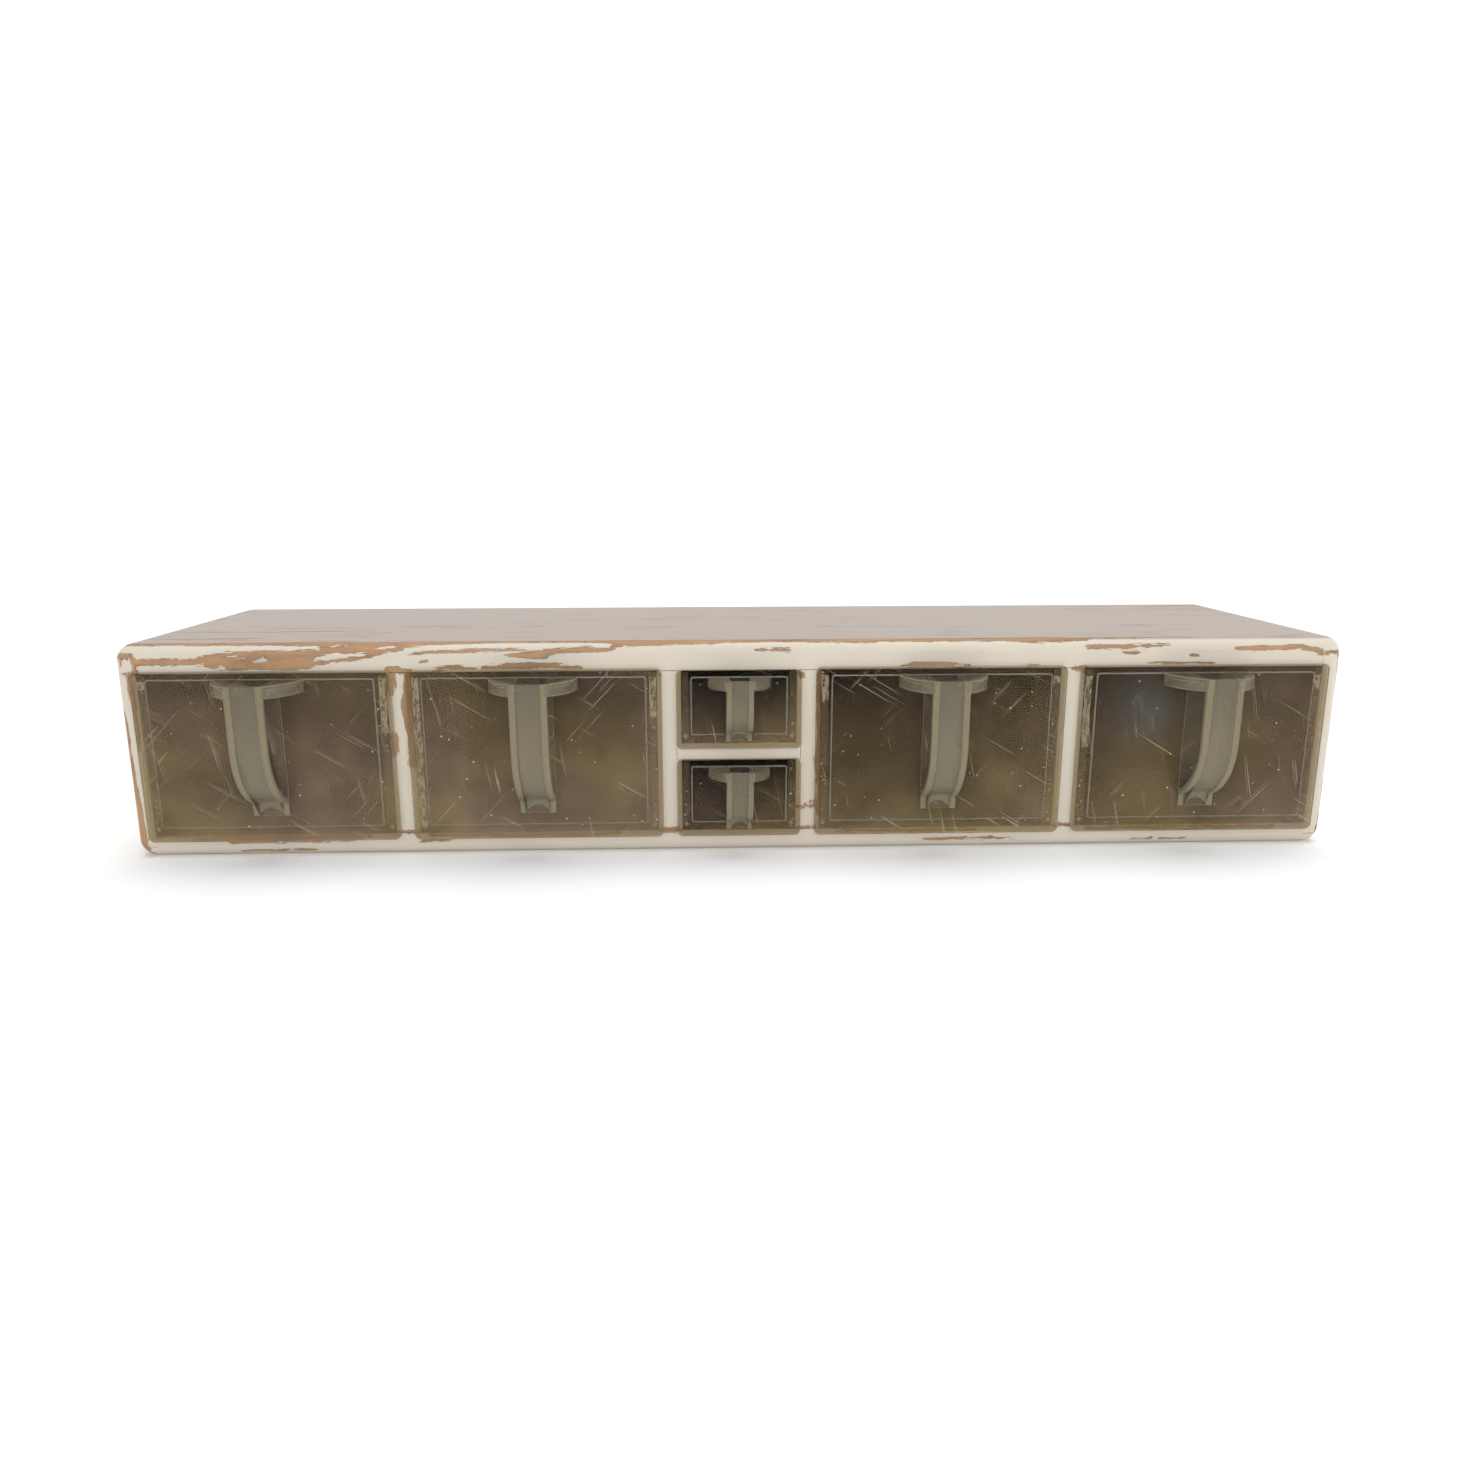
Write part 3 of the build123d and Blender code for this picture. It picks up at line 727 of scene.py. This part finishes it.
def wood_colour(mat, scale, light, dark):
    """Straight wood grain with fine dark pores. scale is per metre, low along the grain."""
    grain = mat.noise(scale, 6.0, 0.62, 0.35)
    fine = mat.noise(scale * 5, 3.0, 0.6)
    streaks = mat.scaled(fine, 0.35, mat.times(grain, 0.75))
    return mat.mix(mat.step(streaks, 0.42, 0.72), light, dark), streaks


def worn_paint(name, along, across):
    """Old cream paint, chipped to bare wood where the piece's bare attribute says so."""
    paint = bpy.context.scene.organizer_paint
    mat = Finish(name)
    wood, streaks = wood_colour(mat, along, paint.wood, paint.wood_dark)
    chips = along * 7
    ragged = mat.noise(chips, 6.0, 0.66, 0.3)
    wander = mat.scaled(ragged, 2 * paint.raggedness / MM, -paint.raggedness / MM)
    bare = mat.math("ADD", mat.attribute("bare"), wander)
    flaky = mat.noise(chips * 4, 3.0, 0.6)
    bare = mat.math("ADD", bare, mat.scaled(flaky, 2.2, -1.1))

    scratches = mat.noise(across, 3.0, 0.6)
    crowd = mat.noise(7.0, 2.0, 0.5)
    scratches = mat.scaled(crowd, 0.5, scratches)
    normal = mat.add("ShaderNodeNewGeometry").outputs["Normal"]
    facing_up = mat.step(mat.parts(normal)[2], 0.75, 0.98)
    lines = mat.times(mat.step(scratches, 0.885, 0.91), facing_up)

    distance, chance = mat.spots(mat.place, 95.0)
    pinhole = mat.times(mat.step(distance, 0.075, 0.045), mat.step(chance, 0.93, 0.935))
    bare = mat.larger(bare, mat.scaled(pinhole, 2.4, -2.0))

    exposed = mat.step(bare, -0.06, 0.1)
    x, y, z = (mat.parts(mat.place)[axis] for axis in range(3))
    # Painted shade: inside the cells, a little behind the front, the colour turns to the dark inside
    # colour, which stands for the shade that fills them.
    inside = mat.step(y, (FRONT_Y + 6) * MM, (FRONT_Y + 18) * MM)
    for value, middle, half in (
        (z, (CELL_BOTTOM + CELL_TOP) / 2, (CELL_TOP - CELL_BOTTOM) / 2),
        (x, 0, CELL_HALF_WIDTH),
    ):
        away = mat.math("ABSOLUTE", mat.math("SUBTRACT", value, middle * MM))
        inside = mat.times(inside, mat.math("LESS_THAN", away, (half + 0.15) * MM))
    # Painted shade: a dark line along the border of every chip, as the shadow of the paint's edge.
    rim = mat.times(mat.step(bare, -0.28, -0.03), mat.step(bare, 0.55, 0.0), clamp=True)
    cloud = mat.noise(16.0, 4.0, 0.6)
    soiled = mat.noise(along * 0.25, 5.0, 0.6)
    shade = mat.step(cloud, 0.35, 0.75, 0.0, 0.35)
    cream = mat.mix(shade, paint.cream, paint.cream * 0.86)
    cream = mat.mix(mat.step(soiled, 0.55, 0.8, 0.0, 0.3), cream, (0.52, 0.43, 0.33))
    # Painted shade and dust: faces that look up turn towards the dusty colour, for the dust on them
    # and for the top lying less lit than the front.
    cream = mat.mix(mat.times(facing_up, 0.85), cream, paint.dusty)
    tone = mat.step(mat.noise(45.0, 3.0, 0.6), 0.4, 0.65)
    wood = mat.mix(tone, wood, paint.wood * 0.8)
    colour = mat.mix(exposed, cream, wood)
    # Painted shade along the chip borders.
    colour = mat.mix(mat.times(rim, 0.42), colour, (0.13, 0.075, 0.045))
    colour = mat.mix(mat.times(lines, 0.7), colour, (0.17, 0.095, 0.05))
    # Painted shade inside the cells, over the unpainted wood.
    colour = mat.mix(inside, colour, mat.mix(tone, paint.inside, paint.inside * 0.7))
    seam = mat.step(mat.times(mat.attribute("joint"), ragged), 0.36, 0.46)
    colour = mat.mix(mat.times(seam, 0.85), colour, (0.09, 0.055, 0.035))
    brush = mat.noise(along * 1.6, 3.0, 0.5)
    speckle = mat.noise(1300.0, 3.0, 0.6)
    surface = mat.scaled(speckle, 0.18, mat.times(brush, 0.35))
    low = mat.scaled(streaks, 0.6, -1.3)
    height = mat.math("ADD", surface, mat.times(exposed, low))
    mat.set(
        Base_Color=colour,
        Roughness=mat.step(exposed, 0, 1, 0.46, 0.72),
        Specular_IOR_Level=0.35,
        Normal=mat.bump(height, 0.16 * MM, strength=0.9),
        IOR=1.48,
    )
    return mat.material


def bare_wood(name, along):
    """Unpainted wood."""
    paint = bpy.context.scene.organizer_paint
    mat = Finish(name)
    colour, streaks = wood_colour(mat, along, paint.wood, paint.wood_dark)
    mat.set(Base_Color=colour, Roughness=0.7, Normal=mat.bump(streaks, 0.2 * MM))
    return mat.material


def hardboard(name):
    """Brown pressed fibre board with a fine fibrous face."""
    mat = Finish(name)
    fibres = mat.noise(900.0, 5.0, 0.7, 1.5)
    cloud = mat.noise(22.0, 4.0, 0.6)
    colour = mat.mix(mat.step(fibres, 0.3, 0.7), (0.16, 0.085, 0.045), (0.29, 0.17, 0.095))
    colour = mat.mix(mat.step(cloud, 0.4, 0.75, 0.0, 0.5), colour, (0.34, 0.235, 0.15))
    mat.set(
        Base_Color=colour,
        Roughness=mat.step(cloud, 0.3, 0.7, 0.5, 0.68),
        Normal=mat.bump(fibres, 0.12 * MM),
    )
    return mat.material


def nail_steel(name):
    """Dull steel with rust at its edges."""
    mat = Finish(name)
    rust = mat.step(mat.noise(700.0, 5.0, 0.7), 0.45, 0.62)
    mat.set(
        Base_Color=mat.mix(rust, (0.34, 0.33, 0.32), (0.19, 0.085, 0.04)),
        Metallic=mat.step(rust, 0, 1, 0.9, 0.1),
        Roughness=mat.step(rust, 0, 1, 0.38, 0.8),
        Normal=mat.bump(rust, 0.08 * MM),
    )
    return mat.material


def clear_plastic(name, tint, level, spot=None):
    """Clear plastic of one tint under a film of dust and fine scratches.

    level is how dense the dust is: a number, or None where the haze attribute says. spot is
    the middle of a whitish bloom.
    """
    plastic = bpy.context.scene.organizer_plastic
    mat = Finish(name)
    scratch = 0.0
    for turn, low in ((31, 0.73), (-47, 0.74), (78, 0.73)):
        inputs = {"Rotation": (0, math.radians(turn), 0), "Scale": (0.05, 0.05, 0.0008)}
        inputs["Vector"] = mat.place
        line = mat.add("ShaderNodeMapping", inputs, vector_type="TEXTURE").outputs[0]
        mark = mat.step(mat.noise(1.0, 1.0, 0.5, at=line), low, low + 0.03)
        scratch = mat.larger(mark, scratch)
    distance, chance = mat.spots(mat.place, 230.0)
    specks = mat.times(mat.step(distance, 0.16, 0.08), mat.step(chance, 0.90, 0.905))
    cloud = mat.noise(26.0, 3.0, 0.55)
    amount = mat.attribute("haze") if level is None else level
    haze = mat.times(mat.step(cloud, 0.3, 0.75, 0.7, 1.3), amount)
    haze = mat.times(haze, plastic.haze)
    marks = mat.larger(mat.times(scratch, 0.3), mat.times(specks, 0.6))
    clouded = mat.math("ADD", haze, marks)
    worn_edge = mat.times(mat.attribute("edge"), plastic.edge_wear)
    clouded = mat.larger(clouded, worn_edge)
    patchy = mat.step(mat.noise(11.0, 2.0, 0.5), 0.4, 0.62)
    dull = mat.mix(patchy, plastic.dull, plastic.dull_olive)
    if spot:
        away = mat.add("ShaderNodeVectorMath", {0: mat.place, 1: spot}, operation="DISTANCE")
        bloom = mat.step(mat.scaled(cloud, 0.03, away.outputs["Value"]), 0.048, 0.012)
        clouded = mat.scaled(bloom, 0.03, clouded)
        dull = mat.mix(bloom, dull, (0.40, 0.40, 0.37))
    scuffed = mat.larger(mat.attribute("edge"), mat.times(marks, 2.0, clamp=True))
    dull = mat.mix(scuffed, dull, plastic.edge_tint)
    waves = mat.noise(14.0, 1.0, 0.4)
    mat.set(
        Base_Color=tint,
        Roughness=0.0,
        IOR=1.14,
        Transmission_Weight=1.0,
        Normal=mat.bump(waves, 0.3 * MM, strength=0.3),
    )
    mat.cover(mat.times(clouded, 1.0, clamp=True), dull)
    mat.see_through_for_shadows(tint * 0.9)
    return mat.material


def milky_plastic(name):
    """Milky plastic: a thin web that shows what lies behind it, between denser beads."""
    plastic = bpy.context.scene.organizer_plastic
    mat = Finish(name)
    dense, low = mat.attribute("dense"), mat.attribute("low")
    cloud = mat.noise((60, 60, 25), 3.0, 0.5)
    specks = mat.noise(1500.0, 2.0, 0.5)
    # Painted light: the web turns lighter towards the bottom, as the lower web catches the light from
    # above, and darker at the top.
    bright = [min(c * 1.15, 1) for c in plastic.web_tint]
    web = mat.mix(low, plastic.web_tint, bright)
    colour = mat.mix(dense, web, plastic.bead_tint)
    colour = mat.mix(mat.step(cloud, 0.35, 0.7, 0, 0.25), colour, (0.27, 0.235, 0.16))
    colour = mat.mix(mat.step(specks, 0.68, 0.76, 0.0, 0.3), colour, (0.7, 0.66, 0.56))
    # Painted light as well: the web grows denser towards the bottom, so that more of its lit colour
    # shows there.
    web_body = mat.step(low, 0, 1, 0.3, 0.5)
    mat.set(
        Base_Color=colour,
        Roughness=0.34,
        IOR=1.4,
        Alpha=mat.scaled(dense, 0.26, web_body, clamp=True),
        Normal=mat.bump(cloud, 0.05 * MM, strength=0.3),
    )
    return mat.material


def clear_film(name):
    """A film so thin and clear that only its edges show."""
    mat = Finish(name)
    edge = mat.attribute("edge")
    mat.set(
        Base_Color=(0.8, 0.78, 0.7),
        Roughness=0.15,
        IOR=1.15,
        Alpha=mat.step(edge, 0, 1, 0.02, 0.45),
    )
    return mat.material


def cement_film(name):
    """Dried cement with fine bubbles, frosted white where the airy attribute says so."""
    mat = Finish(name)
    distance, chance = mat.spots(mat.stretched((1, 1, 0.7)), 800.0)
    cloud = mat.noise((400, 400, 90), 5.0, 0.6)
    ragged = mat.scaled(cloud, 1.6, -0.8)
    airy = mat.step(mat.math("ADD", mat.attribute("airy"), ragged), 0.35, 0.6)
    frost = mat.step(mat.noise((700, 700, 220), 4.0, 0.7), 0.4, 0.56, 0.12, 0.85)
    bubbles = mat.times(mat.step(distance, 0.25, 0.12), mat.step(chance, 0.8, 0.82))
    white = mat.larger(mat.times(airy, frost), mat.times(bubbles, 0.6))
    white = mat.larger(white, mat.times(mat.attribute("edge"), 0.5))
    mat.set(
        Base_Color=mat.mix(white, (0.45, 0.40, 0.30), (0.95, 0.92, 0.86)),
        Roughness=0.3,
        IOR=1.3,
        Alpha=mat.scaled(white, 0.75, 0.12),
        Normal=mat.bump(cloud, 0.15 * MM),
    )
    return mat.material


def bubble_wall(name):
    """The skin of a trapped air bubble, in light colours with a mottled sheen: a painted glint that
    stands for the light the bubble reflects.
    """
    mat = Finish(name)
    sheen = mat.noise(2500.0, 2.0, 0.5)
    mat.set(
        Base_Color=mat.mix(mat.step(sheen, 0.35, 0.65), (0.62, 0.59, 0.52), (0.85, 0.84, 0.8)),
        Roughness=0.12,
        IOR=1.3,
        Alpha=0.55,
    )
    return mat.material


def soft_sky(level, zenith):
    """White light from all round, weaker from straight above."""
    world = bpy.data.worlds.new("studio")
    world.use_nodes = True
    nodes, links = world.node_tree.nodes, world.node_tree.links
    sky = nodes["Background"]
    sky.inputs["Color"].default_value = (1, 1, 1, 1)
    place = nodes.new("ShaderNodeTexCoord")
    parts = nodes.new("ShaderNodeSeparateXYZ")
    fade = nodes.new("ShaderNodeMapRange")
    fade.interpolation_type = "SMOOTHSTEP"
    for socket, value in ((1, 0.42), (2, 0.85), (3, level), (4, zenith)):
        fade.inputs[socket].default_value = value
    links.new(place.outputs["Generated"], parts.inputs[0])
    links.new(parts.outputs["Z"], fade.inputs[0])
    links.new(fade.outputs["Result"], sky.inputs["Strength"])
    return world


# ---- operators


class ORGANIZER_OT_case_boards(bpy.types.Operator):
    """Rounds the nine painted boards' edges and wears their paint"""

    bl_idname = "organizer.case_boards"
    bl_label = "Case Boards"

    def execute(self, context):
        paint = context.scene.organizer_paint
        lengthwise = worn_paint("worn_paint_rails", Vector((14, 120, 120)), (13, 270, 270))
        upright = worn_paint("worn_paint_posts", Vector((120, 120, 14)), (270, 13, 270))
        for node in RAILS + POSTS:
            low, high = (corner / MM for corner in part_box(node))
            piece = from_node(node, f"{node}_board")
            round_edges(piece, paint.edge_round, 2, 8.0)
            rail = node in RAILS
            run, cross = (0, 2) if rail else (2, 0)
            cut_front(piece, low, high, ((cross, 0.8), (run, 2.4 if rail else 1.6)))
            paint_wear(piece)

            def at_joint(face):
                place = face.center[run] / MM
                return min(place - low[run], high[run] - place) < 0.4

            jointed = node not in ("case_top", "case_bottom")
            mark_faces(piece, "joint", lambda face: jointed and at_joint(face))
            smooth(piece)
            finish_piece(piece, "case", "painted_wood", lengthwise if rail else upright, node)
        return {"FINISHED"}


class ORGANIZER_OT_case_back(bpy.types.Operator):
    """Gives the back panel, its nails and the dowels their finishes"""

    bl_idname = "organizer.case_back"
    bl_label = "Case Back"

    def execute(self, context):
        for node, material in (
            ("back_panel", hardboard("pressed_fibre")),
            ("back_nails", nail_steel("dull_nail_steel")),
            ("divider_dowels", bare_wood("dowel_wood", Vector((120, 120, 16)))),
        ):
            NODES[node].data.materials[0] = material
        return {"FINISHED"}


class ORGANIZER_OT_drawer_fronts(bpy.types.Operator):
    """Rounds the edges of the drawers' clear front plates"""

    bl_idname = "organizer.drawer_fronts"
    bl_label = "Drawer Fronts"

    def execute(self, context):
        plastic = context.scene.organizer_plastic
        usual = clear_plastic("front_plate_plastic", plastic.plate_tint, None)
        bloomed = clear_plastic("front_plate_plastic_bloomed", plastic.plate_tint, None, CLOUDED_SPOT)
        for drawer in DRAWERS:
            piece = from_node(f"{drawer}_front", f"{drawer}_plate")
            round_edges(piece, plastic.plate_round, 3, 0.0)
            low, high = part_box(f"{drawer}_front")

            def on_panel(face):
                return face.center.y < low.y + 0.05 * MM

            edit(piece, "FACE")
            close_edit()
            max(filter(on_panel, piece.data.polygons), key=lambda face: face.area).select = True
            bpy.ops.object.mode_set(mode="EDIT")
            bpy.ops.mesh.inset(thickness=plastic.panel_line)
            close_edit()
            middle, rightward, upward = HAZE[drawer]

            def haze(vertex):
                across = (vertex.co.x - low.x) / (high.x - low.x) - 0.5
                up = (vertex.co.z - low.z) / (high.z - low.z) - 0.5
                return max(middle + rightward * across + upward * up, 0)

            mark_points(piece, "haze", haze)
            mark_faces(
                piece, "edge",
                lambda face: abs(face.normal.y) < 0.95 or (on_panel(face) and face.area < 2e-4),
            )
            smooth(piece, 50)
            material = bloomed if drawer == "drawer_4" else usual
            finish_piece(piece, drawer, "drawer_plastic", material, f"{drawer}_front")
        return {"FINISHED"}


class ORGANIZER_OT_drawer_trays(bpy.types.Operator):
    """Rounds the trays' rims and leaves room for the cement at their front"""

    bl_idname = "organizer.drawer_trays"
    bl_label = "Drawer Trays"

    def execute(self, context):
        plastic = context.scene.organizer_plastic
        material = clear_plastic("tray_plastic", plastic.tray_tint, 0.05)
        start = PLATE_BACK * MM + plastic.cement_thickness
        for drawer in DRAWERS:
            piece = from_node(f"{drawer}_tray", f"{drawer}_box")
            round_edges(piece, plastic.plate_round, 2, 1.5)
            edit(piece)
            slice_at(1, start / MM, use_fill=True, clear_inner=True)
            close_edit()
            mark_faces(piece, "edge", lambda face: face.area < 2e-5 and abs(face.normal.y) < 0.9)
            smooth(piece, 50)
            finish_piece(piece, drawer, "drawer_plastic", material, f"{drawer}_tray")
        return {"FINISHED"}


class ORGANIZER_OT_cement(bpy.types.Operator):
    """Lays the cement films that hold the trays to their plates, and their bubbles"""

    bl_idname = "organizer.cement"
    bl_label = "Cement"

    def execute(self, context):
        plastic = context.scene.organizer_plastic
        film = cement_film("dried_cement")
        skin = bubble_wall("bubble_skin")
        thick = plastic.cement_thickness / MM
        for number, drawer in enumerate(DRAWERS):
            low, high = (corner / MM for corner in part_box(f"{drawer}_tray"))
            draw = random.Random(71 + number)
            strips, bubbles = [], []
            for side, x in (("left", low.x + WALL / 2), ("right", high.x - WALL / 2)):
                frosted = FROSTED.get(drawer, {}).get(side, ())
                strips.append(
                    cement_strip(x, low.z + RUNNER, high.z, SEAM_WIDTH, thick, draw, frosted)
                )
                for _ in range(round((high.z - low.z) / 5)):
                    z = low.z + RUNNER + (high.z - low.z - 6) * draw.random() ** 1.6 + 2
                    size = 0.22 + 0.5 * draw.random() ** 3
                    bubbles.append((x + draw.uniform(-1.1, 1.1), z, size))
                bubbles.append((x, low.z + RUNNER + 1.6, 1.2))
            joined = join(strips, f"{drawer}_cement")
            mark_faces(joined, "edge", lambda face: abs(face.normal.y) < 0.5)
            finish_piece(joined, drawer, "drawer_plastic", film)
            air = join([bubble(*place, thick) for place in bubbles], f"{drawer}_bubbles")
            smooth(air, 60)
            finish_piece(air, drawer, "drawer_plastic", skin)
        return {"FINISHED"}


class ORGANIZER_OT_handles(bpy.types.Operator):
    """Makes the milky handles, and the clear pads that hold them to the plates"""

    bl_idname = "organizer.handles"
    bl_label = "Handles"

    def execute(self, context):
        plastic = context.scene.organizer_plastic
        milky = milky_plastic("handle_milky_plastic")
        clear = clear_film("pad_clear_film")
        for drawer in DRAWERS:
            node = f"{drawer}_handle"
            low, high = (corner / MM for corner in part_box(node))
            middle = (low.x + high.x) / 2
            strap, bead = STRAPS["small" if "small" in drawer else "large"]
            piece = from_node(node, f"{drawer}_grip")
            edit(piece)
            slice_at(1, high.y - PAD - PAD_GAP, use_fill=True, clear_outer=True)
            bpy.ops.mesh.select_all(action="SELECT")
            bpy.ops.mesh.dissolve_limited(angle_limit=FLAT)
            close_edit()
            round_edges(piece, plastic.handle_round * (0.6 if "small" in drawer else 1), 2, 1.0)
            web = strap / 2 - bead
            toe = toe_web(middle, web + 0.6, low.z + TOE_ARCH[0], low.z + TOE_ARCH[1], high.y - PAD)
            piece = join([piece, toe], piece.name)

            def is_dense(face):
                off = abs(face.center.x / MM - middle)
                return off > web + 0.2 and (off < strap / 2 + 0.1 or face.area < 3e-6)

            mark_faces(piece, "dense", is_dense)
            tall = high.z - low.z
            mark_points(piece, "low", lambda vertex: (high.z - vertex.co.z / MM) / tall)
            smooth(piece, 50)
            finish_piece(piece, drawer, "handle_plastic", milky, node)

            deselect()
            bpy.ops.mesh.primitive_cube_add(
                size=1, location=(middle * MM, (high.y - PAD / 2) * MM, (low.z + high.z) / 2 * MM)
            )
            pad = context.object
            pad.name = f"{drawer}_pad"
            pad.scale = (strap * MM, PAD * 0.9 * MM, (high.z - low.z - 0.4) * MM)
            bpy.ops.object.transform_apply()
            round_edges(pad, 0.12 * MM, 2, 0.0)
            mark_faces(pad, "edge", lambda face: abs(face.normal.y) < 0.9)
            smooth(pad)
            finish_piece(pad, drawer, "handle_plastic", clear)
        return {"FINISHED"}


class ORGANIZER_OT_stage(bpy.types.Operator):
    """Sets up the pale floor, the soft light and the camera"""

    bl_idname = "organizer.stage"
    bl_label = "Stage"

    def execute(self, context):
        stage = context.scene.organizer_stage
        deselect()
        bpy.ops.mesh.primitive_plane_add(size=12, location=(0, 0, CAD_BOX[0][2] - 0.2 * MM))
        floor = context.object
        floor.name = "floor"
        mat = Finish("pale_floor")
        mat.set(
            Base_Color=(0.9, 0.9, 0.9), Roughness=0.9, Specular_IOR_Level=0.0,
            Emission_Color=(1, 1, 1), Emission_Strength=0.06,
        )
        floor.data.materials.append(mat.material)

        for name, place, size, power, colour in (
            ("key_light", (0.45, -1.6, 0.75), 1.2, stage.key, (1.0, 0.985, 0.95)),
            ("side_light", (1.5, -0.2, 0.8), 0.9, stage.key * 0.35, (0.86, 0.92, 1.0)),
        ):
            bpy.ops.object.light_add(type="AREA", location=place)
            light = context.object
            light.name = name
            light.data.size = size
            light.data.energy = power
            light.data.color = colour
            aim = Vector((0, 0, 0.05)) - Vector(place)
            light.rotation_euler = aim.to_track_quat("-Z", "Y").to_euler()

        bpy.ops.object.light_add(type="SUN", location=(0, 0, 2))
        overhead = context.object
        overhead.name = "overhead_light"
        overhead.data.energy = stage.overhead
        overhead.data.angle = math.radians(45)
        overhead.rotation_euler = (math.radians(-7), math.radians(4), 0)

        context.scene.world = soft_sky(stage.sky, stage.zenith)

        pitch, roll, turn = stage.camera_turn
        bpy.ops.object.camera_add(location=stage.camera_place)
        camera = context.object
        camera.name = "camera"
        camera.rotation_euler = Euler((math.pi / 2 - pitch, 0, -turn))
        camera.rotation_euler.rotate_axis("Z", -roll)
        camera.data.lens = stage.lens
        camera.data.sensor_width = 36
        camera.data.clip_start = 0.01
        context.scene.camera = camera
        context.scene.view_settings.view_transform = "Standard"
        return {"FINISHED"}


class ORGANIZER_PT_panel(bpy.types.Panel):
    bl_label = "Parts Organizer"
    bl_idname = "ORGANIZER_PT_panel"
    bl_space_type = "VIEW_3D"
    bl_region_type = "UI"
    bl_category = "Organizer"

    def draw(self, context):
        scene = context.scene
        for group in (scene.organizer_paint, scene.organizer_plastic, scene.organizer_stage):
            box = self.layout.box()
            for name in group.__annotations__:
                box.prop(group, name)
        for operator in OPERATORS:
            self.layout.operator(operator.bl_idname)


OPERATORS = (
    ORGANIZER_OT_case_boards,
    ORGANIZER_OT_case_back,
    ORGANIZER_OT_drawer_fronts,
    ORGANIZER_OT_drawer_trays,
    ORGANIZER_OT_cement,
    ORGANIZER_OT_handles,
    ORGANIZER_OT_stage,
)
GROUPS = {
    "organizer_paint": OrganizerPaint,
    "organizer_plastic": OrganizerPlastic,
    "organizer_stage": OrganizerStage,
}


def register():
    for name, group in GROUPS.items():
        bpy.utils.register_class(group)
        setattr(bpy.types.Scene, name, bpy.props.PointerProperty(type=group))
    for item in (*OPERATORS, ORGANIZER_PT_panel):
        bpy.utils.register_class(item)


def unregister():
    for item in reversed((*OPERATORS, ORGANIZER_PT_panel)):
        bpy.utils.unregister_class(item)
    for name, group in reversed(GROUPS.items()):
        delattr(bpy.types.Scene, name)
        bpy.utils.unregister_class(group)


def main():
    register()
    bpy.ops.organizer.case_boards()
    bpy.ops.organizer.case_back()
    bpy.ops.organizer.drawer_fronts()
    bpy.ops.organizer.drawer_trays()
    bpy.ops.organizer.cement()
    bpy.ops.organizer.handles()
    bpy.ops.organizer.stage()
    deselect()


if __name__ == "__main__":
    main()
